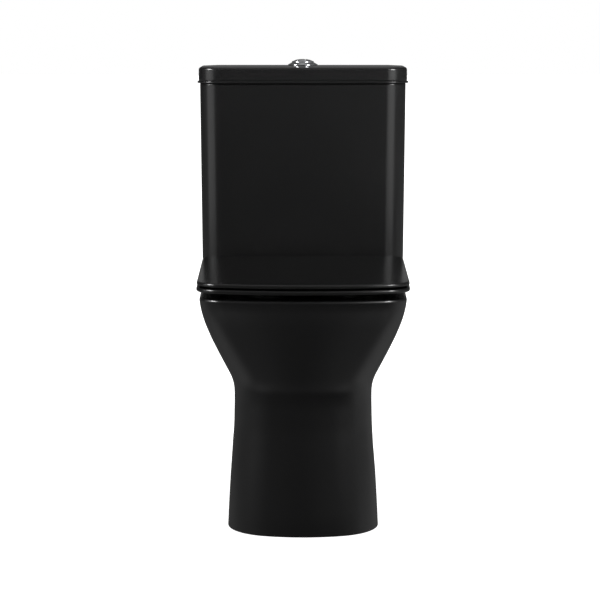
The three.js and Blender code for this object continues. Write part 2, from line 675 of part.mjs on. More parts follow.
add('fill_valve_body', fillValveBody(), WHITE_PLASTIC);
add('fill_washer', sleeve(FILL.tail + GAP, 16.5, onFloor(GASKET), FILL.x, CISTERN.y), RUBBER);
add('fill_backnut', nut(FILL.tail + GAP, 17, [404, nutTop], FILL.x, CISTERN.y, 8), WHITE_PLASTIC);
add('fill_float', fillFloat(), GREY_PLASTIC);
add('float_rod', floatRod(), WHITE_PLASTIC);
add('float_arm', floatArm(), GREY_PLASTIC);
const plugHead = onFloor(GASKET + 0.7);
add('blanking_plug', screw(FILL.tail, 16, [409, ...plugHead], -FILL.x, CISTERN.y, SIDES), WHITE_PLASTIC);

const couplingBore = COUPLING.bolt + 0.4;
addPair('coupling_bolt', screw(COUPLING.bolt, 8, [379, 437.3, 442.6], COUPLING.x, CISTERN.y, 6), BRASS);
addPair('coupling_seal', sleeve(couplingBore, 12.5, onFloor(5.7), COUPLING.x, CISTERN.y), RUBBER);
const couplingWasher = underDeck(COUPLING.washer);
const couplingNut = underDeck(COUPLING.nut, COUPLING.washer + GAP);
addPair('coupling_washer', sleeve(couplingBore, 11.5, couplingWasher, COUPLING.x, CISTERN.y), BRASS);
addPair('coupling_wing_nut', wingNut(couplingBore, couplingNut, COUPLING.x, CISTERN.y), BRASS);

addPair('floor_bush', floorBush(), WHITE_PLASTIC);
addPair('floor_screw', floorScrew(), STEEL);
addPair('screw_cap', screwCap(), CHROME);

export default toilet;
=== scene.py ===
"""A black close coupled toilet in a plain white studio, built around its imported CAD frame.

Metres, +Z up, the front faces -Y. Large castings and the seat are fine lofted meshes, joined and cut with
booleans; every material is procedural.
"""
import json
import math

import bmesh
import bpy
import numpy as np
from mathutils import Matrix, Vector


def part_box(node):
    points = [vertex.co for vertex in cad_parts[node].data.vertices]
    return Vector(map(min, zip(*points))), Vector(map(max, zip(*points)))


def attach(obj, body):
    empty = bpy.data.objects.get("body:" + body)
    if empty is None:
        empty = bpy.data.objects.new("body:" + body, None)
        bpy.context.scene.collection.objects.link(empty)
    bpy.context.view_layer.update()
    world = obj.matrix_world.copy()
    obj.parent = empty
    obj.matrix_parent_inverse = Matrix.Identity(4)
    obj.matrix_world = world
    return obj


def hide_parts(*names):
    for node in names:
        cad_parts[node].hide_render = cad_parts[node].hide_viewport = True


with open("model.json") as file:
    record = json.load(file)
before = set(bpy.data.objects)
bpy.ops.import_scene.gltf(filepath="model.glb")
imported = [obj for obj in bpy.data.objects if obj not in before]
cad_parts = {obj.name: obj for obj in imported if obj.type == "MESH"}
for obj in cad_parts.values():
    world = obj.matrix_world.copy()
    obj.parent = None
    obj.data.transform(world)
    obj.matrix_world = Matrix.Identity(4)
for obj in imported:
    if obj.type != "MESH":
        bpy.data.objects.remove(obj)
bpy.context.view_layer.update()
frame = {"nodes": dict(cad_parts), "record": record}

# ---- places taken from the frame ----
def centre_of(node):
    """The middle of a CAD node's box."""
    return [(low + high) / 2 for low, high in zip(*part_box(node))]


PAN_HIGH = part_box("pan_pedestal")[1]
BODY_LOW, BODY_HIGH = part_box("cistern_body")
COVER_LOW, COVER_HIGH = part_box("cistern_lid")
LID_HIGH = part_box("seat_lid")[1]
PIN_LOW, PIN_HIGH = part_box("hinge_pin_right")
BUTTON_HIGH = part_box("button_full")[1]
RIM = PAN_HIGH.z
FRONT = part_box("seat_ring")[0].y
CAP_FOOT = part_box("screw_cap_right")[0].z
CAP_X, CAP_Y = centre_of("screw_cap_right")[:2]
HINGE_X, BOLT_Y = centre_of("hinge_bolt_right")[:2]
HINGE_Y, HINGE_Z = centre_of("hinge_pin_right")[1:]
CISTERN_Y = centre_of("button_bezel")[1]
COUPLING_X = centre_of("coupling_bolt_right")[0]
INLET_X = centre_of("blanking_plug")[0]


# ---- mesh tools ----
def fillet(points, radii, steps=6):
    """A 2D polyline with its inner corners rounded: radii has one value for each point, 0 for a sharp one."""
    line = []
    for i, (point, radius) in enumerate(zip(points, radii)):
        here = np.array(point, float)
        if radius == 0 or i in (0, len(points) - 1):
            line.append(here)
            continue
        back = np.array(points[i - 1], float) - here
        ahead = np.array(points[i + 1], float) - here
        back /= np.linalg.norm(back)
        ahead /= np.linalg.norm(ahead)
        half_angle = math.acos(np.clip(back @ ahead, -1, 1)) / 2
        reach = radius / math.tan(half_angle)
        middle = here + (back + ahead) / np.linalg.norm(back + ahead) * radius / math.sin(half_angle)
        start, end = here + back * reach - middle, here + ahead * reach - middle
        turn = math.pi - 2 * half_angle
        for step in range(steps + 1):
            share = step / steps
            blend = (math.sin((1 - share) * turn) * start + math.sin(share * turn) * end) / math.sin(turn)
            line.append(middle + blend)
    return np.array(line)


def mesh_object(name, vertices, faces):
    mesh = bpy.data.meshes.new(name)
    mesh.from_pydata([tuple(v) for v in vertices], [], faces)
    mesh.update()
    made = bpy.data.objects.new(name, mesh)
    bpy.context.scene.collection.objects.link(made)
    return made


def loft(name, rings, looped=False):
    """A closed mesh through rings of points, with its ends capped or, if looped, joined to each other."""
    rings = np.asarray(rings, float)
    levels, count, _ = rings.shape
    faces = []
    for level in range(levels if looped else levels - 1):
        low, high = level * count, (level + 1) % levels * count
        for i in range(count):
            j = (i + 1) % count
            faces.append((low + i, low + j, high + j, high + i))
    if not looped:
        faces.append(tuple(reversed(range(count))))
        faces.append(tuple(range((levels - 1) * count, levels * count)))
    made = mesh_object(name, rings.reshape(-1, 3), faces)
    turn_outward(made)
    return made


def turn_outward(made):
    shape = bmesh.new()
    shape.from_mesh(made.data)
    bmesh.ops.recalc_face_normals(shape, faces=shape.faces)
    if shape.calc_volume(signed=True) < 0:
        bmesh.ops.reverse_faces(shape, faces=shape.faces)
    shape.to_mesh(made.data)
    shape.free()


def turned(name, profile, place=(0, 0, 0), axis="Z", sides=64):
    """A turned piece. Its profile of (radius, height) is closed on itself or starts and ends on the axis."""
    angles = np.arange(sides) * 2 * math.pi / sides
    on_axis = profile[0][0] < 1e-9
    inner = profile[1:-1] if on_axis else profile
    vertices = [(r * math.cos(a), r * math.sin(a), h) for r, h in inner for a in angles]
    rows = len(inner)
    faces = []
    for row in range(rows - 1 if on_axis else rows):
        low, high = row * sides, (row + 1) % rows * sides
        for i in range(sides):
            j = (i + 1) % sides
            faces.append((low + i, low + j, high + j, high + i))
    if on_axis:
        for (_, height), row in ((profile[0], 0), (profile[-1], rows - 1)):
            vertices.append((0, 0, height))
            tip = len(vertices) - 1
            faces += [(row * sides + i, row * sides + (i + 1) % sides, tip) for i in range(sides)]
    made = mesh_object(name, vertices, faces)
    quarter = math.pi / 2
    turn = {"Z": Matrix(), "X": Matrix.Rotation(quarter, 4, "Y"), "Y": Matrix.Rotation(-quarter, 4, "X")}
    made.data.transform(Matrix.Translation(place) @ turn[axis])
    turn_outward(made)
    return made


def rod(name, radius, span, place, axis="Z", sides=64, edge=0.0):
    """A plain round bar along an axis, with its rims rounded by edge."""
    low, high = span
    corners = [(0, low), (radius, low), (radius, high), (0, high)]
    return turned(name, fillet(corners, (0, edge, edge, 0), 3), place, axis, sides)


def offset(points, distance):
    """A closed anticlockwise outline moved inward by distance."""
    ahead = np.roll(points, -1, 0) - points
    ahead /= np.linalg.norm(ahead, axis=1)[:, None]
    normal = np.stack([-ahead[:, 1], ahead[:, 0]], 1)
    mean = normal + np.roll(normal, 1, 0)
    mean /= (mean * normal).sum(1)[:, None]
    return points + mean * distance


def slab(name, points, span, edge, axis="Z", steps=4):
    """An outline given a thickness along an axis, with rounded rims."""
    low, high = span
    path = fillet([(2 * edge, low), (0, low), (0, high), (2 * edge, high)], (0, edge, edge, 0), steps)
    rings = []
    for inset, height in path:
        ring = offset(np.asarray(points, float), inset)
        tall = np.full(len(ring), height)
        columns = {"Z": (ring[:, 0], ring[:, 1], tall), "X": (tall, ring[:, 0], ring[:, 1])}[axis]
        rings.append(np.stack(columns, 1))
    return loft(name, rings)


def rounded_rectangle(low, high, radius, steps):
    """An anticlockwise rectangle whose corners are quarter circles of so many steps."""
    left, right = low[0] + radius, high[0] - radius
    bottom, top = low[1] + radius, high[1] - radius
    points = []
    for u, v, first in ((right, bottom, -90), (right, top, 0), (left, top, 90), (left, bottom, 180)):
        for step in range(steps + 1):
            angle = math.radians(first + 90 * step / steps)
            points.append((u + radius * math.cos(angle), v + radius * math.sin(angle)))
    return points


def rounded_box(name, low, high, radius, edge):
    """A block with rounded upright corners and rounded rims."""
    return slab(name, rounded_rectangle(low, high, radius, 6), (low[2], high[2]), edge)


def flip(made):
    """The mirror image of a mesh in the plane x = 0, as a new object."""
    twin = made.copy()
    twin.data = made.data.copy()
    bpy.context.scene.collection.objects.link(twin)
    twin.data.transform(Matrix.Diagonal((-1, 1, 1, 1)))
    twin.data.flip_normals()
    return twin


def applied(made):
    graph = bpy.context.evaluated_depsgraph_get()
    mesh = bpy.data.meshes.new_from_object(made.evaluated_get(graph))
    made.modifiers.clear()
    made.data = mesh
    return made


def boolean(made, tools, operation):
    """Joins the tools to a mesh, or cuts them from it, one after another. The tools are used up."""
    for tool in tools:
        step = made.modifiers.new("join", "BOOLEAN")
        step.operation = operation
        step.solver = "MANIFOLD"
        step.object = tool
        applied(made)
        bpy.data.objects.remove(tool)
    return made


def join(made, tools):
    return boolean(made, tools, "UNION")


def cut(made, tools):
    return boolean(made, tools, "DIFFERENCE")


def finish_piece(made, name, body, material, nodes, sharp=32):
    """Smooths the shading, gives the material, ties a piece to its body and hides the CAD nodes it replaces.
    """
    made.name = name
    made.data.name = name
    shape = bmesh.new()
    shape.from_mesh(made.data)
    bmesh.ops.remove_doubles(shape, verts=shape.verts, dist=2e-6)
    bmesh.ops.dissolve_degenerate(shape, edges=shape.edges, dist=1e-6)
    shape.to_mesh(made.data)
    shape.free()
    made.data.shade_smooth()
    made.data.set_sharp_from_angle(angle=math.radians(sharp))
    weighted = made.modifiers.new("normals", "WEIGHTED_NORMAL")
    weighted.keep_sharp = True
    applied(made)
    made.data.materials.clear()
    made.data.materials.append(material)
    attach(made, body)
    if nodes:
        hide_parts(*nodes)
    return made


# ---- outlines ----
def arc(x, y, radius, start, end, steps):
    angles = start + (end - start) * np.arange(steps) / steps
    return np.stack([x + radius * np.sin(angles), y - radius * np.cos(angles)], 1)


def line(start, end, steps):
    share = np.arange(steps)[:, None] / steps
    return np.array(start) + (np.array(end) - np.array(start)) * share


def plan(half, front, back, front_radius, corner_radius, back_radius, widening=0.0, rear=None):
    """The plan view: a bowed front, round corners, sides that widen, and shoulders if rear is given."""
    lean = math.asin((half - corner_radius) / (front_radius - corner_radius))
    corner_y = front + front_radius - (front_radius - corner_radius) * math.cos(lean)
    side_end = back - back_radius if rear is None else SHOULDER[0]
    wide = half + widening * (side_end - corner_y)
    narrow = wide if rear is None else rear
    parts = [
        arc(0, front + front_radius, front_radius, 0, lean, 14),
        arc(half - corner_radius, corner_y, corner_radius, lean, math.pi / 2, 18),
        line((half, corner_y), (wide, side_end), 12),
    ]
    if rear is not None:
        share = np.arange(20) / 20
        ease = share * share * share * (10 - 15 * share + 6 * share * share)
        along = SHOULDER[0] + (SHOULDER[1] - SHOULDER[0]) * share
        parts.append(np.stack([wide + (narrow - wide) * ease, along], 1))
        parts.append(line((narrow, SHOULDER[1]), (narrow, back - back_radius), 8))
    parts.append(arc(narrow - back_radius, back - back_radius, back_radius, math.pi / 2, math.pi, 8))
    parts.append(line((narrow - back_radius, back), (0, back), 8))
    right = np.vstack([*parts, [(0, back)]])
    left = right[-2:0:-1] * (-1, 1)
    return np.vstack([right, left])


def oval(half, front, back, power, points=None, count=120):
    """A superellipse, either evenly stepped or with its points on the rays to the given outline."""
    centre, reach = (front + back) / 2, (back - front) / 2
    if points is None:
        angles = np.arange(count) * 2 * math.pi / count - math.pi / 2
        x, y = np.cos(angles), np.sin(angles)
        return np.stack([
            half * np.sign(x) * np.abs(x) ** (2 / power),
            centre + reach * np.sign(y) * np.abs(y) ** (2 / power),
        ], 1)
    away = points - (0, centre)
    away /= np.linalg.norm(away, axis=1)[:, None]
    radius = (np.abs(away[:, 0] / half) ** power + np.abs(away[:, 1] / reach) ** power) ** (-1 / power)
    return away * radius[:, None] + (0, centre)


def at_height(points, z):
    return np.column_stack([points, np.full(len(points), z)])


def smooth_profile(table, step=0.001, spread=0.007):
    """A function of height that follows the columns of a table, softened so that the wall has no creases."""
    table = np.array(table, float)
    low, high = table[0, 0], table[-1, 0]
    margin = 5 * spread
    heights = np.arange(low - margin, high + margin + step, step)
    reach = np.arange(-4 * spread, 4 * spread + step / 2, step)
    weight = np.exp(-0.5 * (reach / spread) ** 2)
    weight /= weight.sum()
    columns = []
    for k in range(1, table.shape[1]):
        slope_low = (table[1, k] - table[0, k]) / (table[1, 0] - low)
        slope_high = (table[-1, k] - table[-2, k]) / (high - table[-2, 0])
        values = np.interp(heights, table[:, 0], table[:, k])
        values = np.where(heights < low, table[0, k] + slope_low * (heights - low), values)
        values = np.where(heights > high, table[-1, k] + slope_high * (heights - high), values)
        columns.append(np.convolve(values, weight, "same"))
    return lambda z: [float(np.interp(z, heights, column)) for column in columns]


# ---- pan ----
WALL = 0.012
SHOULDER = (0.108, 0.205)
DECK_UNDER = RIM - 0.015
PAN_BACK_RADIUS, PAN_WIDENING = 0.006, 0.018
# Height, half width, setback from the seat's front, radius of the front bow, corner radius, half width at the
# rear.
PAN_TABLE = (
    (0.000, 0.1303, 0.0722, 0.230, 0.090, 0.1345),
    (0.030, 0.1289, 0.0738, 0.230, 0.090, 0.1335),
    (0.060, 0.1273, 0.0760, 0.232, 0.089, 0.1320),
    (0.100, 0.1249, 0.0790, 0.236, 0.088, 0.1300),
    (0.140, 0.1214, 0.0820, 0.242, 0.086, 0.1265),
    (0.180, 0.1191, 0.0850, 0.250, 0.084, 0.1240),
    (0.225, 0.1182, 0.0870, 0.260, 0.082, 0.1230),
    (0.246, 0.1184, 0.0860, 0.268, 0.081, 0.1230),
    (0.262, 0.1222, 0.0800, 0.288, 0.080, 0.1230),
    (0.280, 0.1306, 0.0700, 0.320, 0.077, 0.1230),
    (0.310, 0.1438, 0.0530, 0.385, 0.071, 0.1228),
    (0.340, 0.1562, 0.0355, 0.450, 0.064, 0.1225),
    (0.370, 0.1664, 0.0185, 0.510, 0.058, 0.1225),
    (0.393, 0.1716, 0.0080, 0.545, 0.054, 0.1225),
    (0.413, 0.1738, 0.0040, 0.560, 0.052, 0.1225),
)
pan_at = smooth_profile(PAN_TABLE)
# Height, half width, front, back and squareness of the bowl's inside.
BOWL_TABLE = (
    (0.098, 0.030, -0.084, 0.002, 2.2),
    (0.150, 0.043, -0.112, -0.004, 2.2),
    (0.200, 0.060, -0.146, -0.008, 2.3),
    (0.250, 0.080, -0.182, -0.008, 2.4),
    (0.300, 0.099, -0.216, -0.004, 2.6),
    (0.350, 0.118, -0.247, 0.002, 2.8),
    (0.392, 0.128, -0.272, 0.008, 2.8),
    (0.413, 0.129, -0.273, 0.009, 2.8),
)
bowl_at = smooth_profile(BOWL_TABLE, spread=0.012)
PAN_NODES = ["pan_pedestal", "pan_bowl", "pan_trapway"]
TRAP_LINE = (
    (-0.040, 0.128), (0.000, 0.118), (0.040, 0.128), (0.072, 0.170), (0.090, 0.216),
    (0.126, 0.254), (0.164, 0.230), (0.188, 0.194), (0.212, 0.180),
)
OUTLET_Z = 0.180
OUTLET_END = centre_of("flush_gasket")[1] + 0.011
WATERWAY_UNDER = 0.345
WATER_LOW, WATER_HIGH = 0.357, 0.387


def pan_outline(z, inward=0.0, back=PAN_HIGH.y):
    half, setback, bow, corner, rear = pan_at(z)
    half, bow, corner, rear = (value - inward for value in (half, bow, corner, rear))
    return plan(half, FRONT + setback + inward, back, bow, corner, PAN_BACK_RADIUS, PAN_WIDENING, rear)


def pan_outside():
    """The casting's outside from the rounded foot to the rounded rim."""
    foot, rim = 0.002, 0.006
    rings = []
    for step in range(6):
        angle = math.pi / 2 * step / 6
        z = foot * (1 - math.cos(angle))
        rings.append(at_height(offset(pan_outline(z), foot * (1 - math.sin(angle))), z))
    for z in np.linspace(foot, RIM - rim, 125):
        rings.append(at_height(pan_outline(z), z))
    for step in range(1, 8):
        angle = math.pi / 2 * step / 7
        z = RIM - rim * (1 - math.sin(angle))
        rings.append(at_height(offset(pan_outline(z), rim * (1 - math.cos(angle))), z))
    return loft("pan", rings)


def pan_hollow():
    """The space inside the walls, open at the foot and at the back."""
    back = PAN_HIGH.y + 0.04
    flange = 0.026
    path = fillet(
        [(flange, -0.001), (flange, 0.018), (WALL, 0.030), (WALL, DECK_UNDER), (WALL + 0.02, DECK_UNDER)],
        (0, 0.004, 0.006, 0.010, 0), 5,
    )
    heights = [tuple(p) for p in path]
    wall = [(WALL, z) for z in np.linspace(0.045, DECK_UNDER - 0.02, 60)]
    corner = next(i for i, (_, z) in enumerate(heights) if z > 0.04)
    heights[corner:corner] = wall
    return loft("hollow", [at_height(pan_outline(max(z, 0), inset, back), z) for inset, z in heights])


def bowl_solid(name, grow, low, high, lip):
    """The bowl's inside as a solid, grown by grow, with a flared lip at the rim."""
    rings = []
    for z in np.linspace(low, high, 70):
        half, front, back, power = bowl_at(z + grow)
        flare = 0.0
        if lip and z > RIM - lip:
            flare = lip - math.sqrt(max(lip ** 2 - (z - RIM + lip) ** 2, 0))
        spread = grow + flare
        rings.append(at_height(oval(half + spread, front - spread, back + spread, power), z))
    floor = rings[0][:, :2]
    centre = floor.mean(0)
    rounding = 0.02
    under = []
    for step in range(6):
        angle = math.pi / 2 * step / 6
        shrunk = centre + (floor - centre) * (0.35 + 0.65 * math.sin(angle))
        under.append(at_height(shrunk, low - rounding * math.cos(angle)))
    top = [at_height(rings[-1][:, :2], high + 0.002)] if lip else []
    return loft(name, [*under, *rings, *top])


def bent(name, points, radius, sides=48, steps=70):
    """A round bar along a smooth line of (y, z) points in the plane x = 0."""
    points = np.array(points, float)
    for _ in range(4):
        smoother = [points[0]]
        for a, b in zip(points[:-1], points[1:]):
            smoother += [a * 0.75 + b * 0.25, a * 0.25 + b * 0.75]
        points = np.array([*smoother, points[-1]])
    length = np.concatenate([[0], np.cumsum(np.linalg.norm(np.diff(points, axis=0), axis=1))])
    even = np.linspace(0, length[-1], steps)
    route = np.stack([np.interp(even, length, points[:, k]) for k in (0, 1)], 1)
    along = np.gradient(route, axis=0)
    along /= np.linalg.norm(along, axis=1)[:, None]
    angles = np.arange(sides) * 2 * math.pi / sides
    circle = [(radius * math.cos(a), radius * math.sin(a)) for a in angles]
    rings = [[(x, y - dz * up, z + dy * up) for x, up in circle] for (y, z), (dy, dz) in zip(route, along)]
    return loft(name, rings)


def side_wall(points):
    """The x of the pan's right side at (y, z) points."""
    places = []
    for y, z in points:
        half, setback, bow, corner, _ = pan_at(z)
        lean = math.asin((half - corner) / (bow - corner))
        corner_y = FRONT + setback + bow - (bow - corner) * math.cos(lean)
        places.append(half + PAN_WIDENING * (y - corner_y))
    return np.array(places)


def pocket_cutter():
    """The pocket in the right side of the foot, its mouth flared into a lip that follows the leaning wall."""
    half_length, top, corner = 0.033, 0.112, 0.007
    inner_x, floor_radius, lip = CAP_X - 0.013, 0.003, 0.004
    low, high = (CAP_Y - half_length, CAP_FOOT - 0.0032), (CAP_Y + half_length, top)
    outline = np.array(rounded_rectangle(low, high, corner, 8))
    rings = []
    for step in range(5):
        angle = math.pi / 2 * step / 5
        ring = offset(outline, floor_radius * (1 - math.sin(angle)))
        deep = np.full(len(ring), inner_x + floor_radius * (1 - math.cos(angle)))
        rings.append(np.column_stack([deep, ring]))
    for step in range(8):
        angle = math.pi / 2 * step / 7
        ring = offset(outline, -lip * (1 - math.cos(angle)))
        rings.append(np.column_stack([side_wall(ring) - lip * (1 - math.sin(angle)), ring]))
    rings.append(rings[-1] + (0.02, 0, 0))
    return loft("pocket", rings)


def both(made):
    """A mesh on the right, and its mirror image on the left."""
    return [made, flip(made)]


def pan_additions():
    """What is joined to the hollow shell: bowl, trap, spigot, waterway and the blocks round the screws."""
    roof = RIM - 0.004
    shell = bowl_solid("shell", WALL, 0.098 - WALL, RIM - 0.012, 0)
    trap = bent("trap", [*TRAP_LINE, (OUTLET_END - 0.004, OUTLET_Z)], 0.038)
    spigot_path = [(0, 0.203), (0.051, 0.203), (0.051, OUTLET_END), (0, OUTLET_END)]
    spigot = turned("spigot", fillet(spigot_path, (0, 0.004, 0.004, 0)), (0, 0, OUTLET_Z), "Y", 96)
    channel = rounded_box("channel", (-0.045, -0.004, WATERWAY_UNDER), (0.045, CISTERN_Y, roof), 0.003, 0.001)
    well_path = [(0, WATERWAY_UNDER), (0.065, WATERWAY_UNDER), (0.065, roof), (0, roof)]
    well = turned("well", fillet(well_path, (0, 0.006, 0.001, 0)), (0, CISTERN_Y, 0), "Z", 96)
    boss_low, boss_high = (CAP_X - 0.030, CAP_Y - 0.052, 0.0), (CAP_X + 0.004, CAP_Y + 0.052, 0.124)
    bosses = both(rounded_box("boss", boss_low, boss_high, 0.002, 0.0008))
    return [shell, trap, spigot, channel, well, *bosses]


def pan_water_cutters():
    """The water's way: bowl, trap, outlet socket, channel into the bowl, and the neck under the valve."""
    bowl = bowl_solid("bowl", 0.0, 0.098, RIM, 0.007)
    passage = bent("passage", [*TRAP_LINE, (OUTLET_END + 0.008, OUTLET_Z)], 0.027)
    mouth = OUTLET_END + 0.001
    socket_path = [(0, 0.220), (0.042, 0.224), (0.042, OUTLET_END - 0.003), (0.045, mouth), (0, mouth)]
    socket = turned("socket", fillet(socket_path, (0, 0.003, 0.002, 0, 0)), (0, 0, OUTLET_Z), "Y", 96)
    flow = rounded_box("flow", (-0.032, WATER_LOW, -CISTERN_Y), (0.032, WATER_HIGH, 0.03), 0.008, 0.001)
    flow.data.transform(Matrix.Rotation(math.pi / 2, 4, "X"))
    recess, above = 0.392, RIM + 0.002
    neck_path = [
        (0, WATER_LOW), (0.034, WATER_LOW), (0.034, recess - 0.0025), (0.0365, recess), (0.056, recess),
        (0.056, RIM - 0.003), (0.059, RIM), (0.059, above), (0, above),
    ]
    neck_radii = (0, 0.004, 0.001, 0.001, 0.002, 0.002, 0, 0, 0)
    neck = turned("neck", fillet(neck_path, neck_radii), (0, CISTERN_Y, 0), "Z", 96)
    return [bowl, passage, socket, flow, neck]


def pan_fixing_cutters():
    """The bolt holes of the seat and cistern through the deck, the floor screws' holes and their pockets."""
    deck = (DECK_UNDER - 0.01, RIM + 0.001)
    hinge_holes = both(rod("hole", 0.007, deck, (HINGE_X, BOLT_Y, 0), sides=32))
    coupling_holes = both(rod("hole", 0.006, deck, (COUPLING_X, CISTERN_Y, 0), sides=32))
    screw_holes = both(rod("hole", 0.0065, (-0.001, CAP_FOOT), (CAP_X, CAP_Y, 0), sides=32))
    return [*hinge_holes, *coupling_holes, *screw_holes, *both(pocket_cutter())]


def build_pan(glaze):
    pan = cut(pan_outside(), [pan_hollow()])
    join(pan, pan_additions())
    cut(pan, [*pan_water_cutters(), *pan_fixing_cutters()])
    return finish_piece(pan, "pan_casting", "toilet_base", glaze, PAN_NODES)


# ---- seat ----
SEAT_HALF, SEAT_BOW, SEAT_CORNER, SEAT_WIDENING = 0.178, 0.560, 0.052, 0.016
RING_EYE, LID_EYE = (0.089, 0.110), (0.051, 0.068)
BUSH_BORE = 0.0055


def seat_outline(inset, back, back_radius):
    half, bow, corner = (value - inset for value in (SEAT_HALF, SEAT_BOW, SEAT_CORNER))
    return plan(half, FRONT + inset, back - inset, bow, corner, back_radius, SEAT_WIDENING)


def shrink(points, distance):
    """An outline drawn in towards its middle, for the flat inside of a plate."""
    centre = points.mean(0)
    size = np.abs(points - centre).max(0)
    return centre + (points - centre) * (1 - distance / size)


def knuckles(span):
    """The eyes round the hinge pins, right and left."""
    radius = PIN_HIGH.z - PIN_LOW.z + 0.001
    return both(rod("knuckle", radius, span, (0, HINGE_Y, HINGE_Z), "X", 64, 0.0006))


def bush_bores(span):
    low, high = span
    return both(rod("bore", BUSH_BORE, (low - 0.001, high + 0.001), (0, HINGE_Y, HINGE_Z), "X", 48))


def build_seat_ring(resin):
    low, high, back, back_radius = 0.4232, 0.4304, 0.086, 0.024
    raised = low + 0.0022
    outside = fillet(
        [(0.010, raised), (0.0065, raised), (0.0055, low), (0, low), (0, high), (0.012, high)],
        (0, 0.0006, 0.0006, 0.0022, 0.0030, 0), 5,
    )
    inside = fillet(
        [(0.010, high), (0, high), (0, low), (0.0055, low), (0.0065, raised), (0.010, raised)],
        (0, 0.0032, 0.0022, 0.0006, 0.0006, 0), 5,
    )
    rings = [at_height(seat_outline(inset, back, back_radius), z) for inset, z in outside]
    guide = seat_outline(0, back, back_radius)
    for grow, z in inside:
        rings.append(at_height(oval(0.108 + grow, -0.246 - grow, 0.020 + grow, 2.6, guide), z))
    made = loft("seat_ring", rings, looped=True)
    arm_low, arm_high = (RING_EYE[0], back - 0.016, low + 0.0008), (RING_EYE[1], HINGE_Y, high - 0.0004)
    join(made, [*knuckles(RING_EYE), *both(rounded_box("arm", arm_low, arm_high, 0.001, 0.0008))])
    cut(made, bush_bores(RING_EYE))
    return finish_piece(made, "seat_ring_moulding", "ring", resin, ["seat_ring"])


def lid_outline(inset, back):
    """The lid's outline drawn in, evenly near the edge and towards its middle further in."""
    even = min(inset, 0.045)
    edge = seat_outline(0.0007 + even, back, 0.030)
    return edge if inset <= even else shrink(edge, inset - even)


def build_seat_lid(resin):
    low, high, back = 0.4336, LID_HIGH.z, LID_HIGH.y + 0.0007
    raised, top = low + 0.0020, high - 0.003
    path = fillet(
        [(0.080, raised), (0.0075, raised), (0.0060, low), (0, low), (0, high - 0.0010),
         (0.050, high), (0.120, high)],
        (0, 0.0008, 0.0008, 0.0018, 0.0032, 0.0600, 0), 6,
    )
    made = loft("seat_lid", [at_height(lid_outline(inset, back), z) for inset, z in path])
    pocket_low, pocket_high = (0.0695, HINGE_Y - 0.013, HINGE_Z - 0.002), (0.112, back + 0.01, top)
    cut(made, both(rounded_box("pocket", pocket_low, pocket_high, 0.003, 0.0008)))
    web_low, web_high = (LID_EYE[0], HINGE_Y - 0.006, HINGE_Z), (LID_EYE[1], HINGE_Y + 0.006, top)
    join(made, [*knuckles(LID_EYE), *both(rounded_box("web", web_low, web_high, 0.001, 0.0006))])
    cut(made, bush_bores(LID_EYE))
    return finish_piece(made, "seat_lid_moulding", "lid", resin, ["seat_lid"])


# ---- cistern ----
CISTERN_CORNER, CISTERN_BACK_CORNER, CISTERN_BOW = 0.040, 0.014, 4.2
LID_CORNER, LID_BACK_CORNER = 0.044, 0.018
SMALLEST_CORNER, SMALLEST_BACK_CORNER = 0.006, 0.004
WALL_SCREW_X, WALL_SCREW_Z = 0.1, 0.705


def cistern_outline(inset, z):
    """The cistern tapers a little towards its foot, at the sides and in front."""
    lean = (BODY_HIGH.z - z) * 0.008
    half = BODY_HIGH.x - (BODY_HIGH.z - z) * 0.0085
    corner = max(CISTERN_CORNER - inset, SMALLEST_CORNER)
    back_corner = max(CISTERN_BACK_CORNER - inset / 2, SMALLEST_BACK_CORNER)
    front, back = BODY_LOW.y + inset + lean, BODY_HIGH.y - inset
    return plan(half - inset, front, back, CISTERN_BOW, corner, back_corner)


def cistern_holes(below, above):
    """The holes for the flush valve, coupling bolts, two supply inlets and wall screws."""
    holes = [rod("hole", 0.0325, (below, above), (0, CISTERN_Y, 0))]
    holes += both(rod("hole", 0.0055, (below, above), (COUPLING_X, CISTERN_Y, 0), sides=32))
    holes += both(rod("hole", 0.0112, (below, above), (INLET_X, CISTERN_Y, 0), sides=48))
    back = (BODY_HIGH.y - 0.03, BODY_HIGH.y + 0.001)
    return holes + both(rod("hole", 0.0035, back, (WALL_SCREW_X, 0, WALL_SCREW_Z), "Y", 24))


def build_cistern_body(glaze):
    low, high = BODY_LOW.z, BODY_HIGH.z
    path = fillet([(0.030, low), (0, low), (0, high), (0.008, high)], (0, 0.010, 0.0038, 0), 8)
    rings = [tuple(p) for p in path]
    rings[10:10] = [(0.0, z) for z in np.linspace(low + 0.012, high - 0.006, 24)]
    body = loft("body", [at_height(cistern_outline(inset, z), z) for inset, z in rings])
    floor, thick = low + 0.012, 0.011
    mouth = thick - 0.002
    hollow_path = fillet(
        [(thick + 0.03, floor), (thick, floor), (thick, high - 0.002), (mouth, high), (mouth, high + 0.002)],
        (0, 0.012, 0.001, 0.001, 0), 6,
    )
    hollow = loft("hollow", [at_height(cistern_outline(inset, min(z, high)), z) for inset, z in hollow_path])
    cut(body, [hollow, *cistern_holes(low - 0.001, floor + 0.001)])
    return finish_piece(body, "cistern_casting", "toilet_base", glaze, ["cistern_body"])


def cover_outline(inset):
    corner = max(LID_CORNER - inset, SMALLEST_CORNER)
    back_corner = max(LID_BACK_CORNER - inset, SMALLEST_BACK_CORNER)
    front, back = COVER_LOW.y + inset, COVER_HIGH.y - inset
    return plan(COVER_HIGH.x - inset, front, back, CISTERN_BOW, corner, back_corner)


def cover_loft(name, path, looped=False):
    """A solid from (inset, height) pairs of the lid's outline."""
    return loft(name, [at_height(cover_outline(inset), z) for inset, z in path], looped)


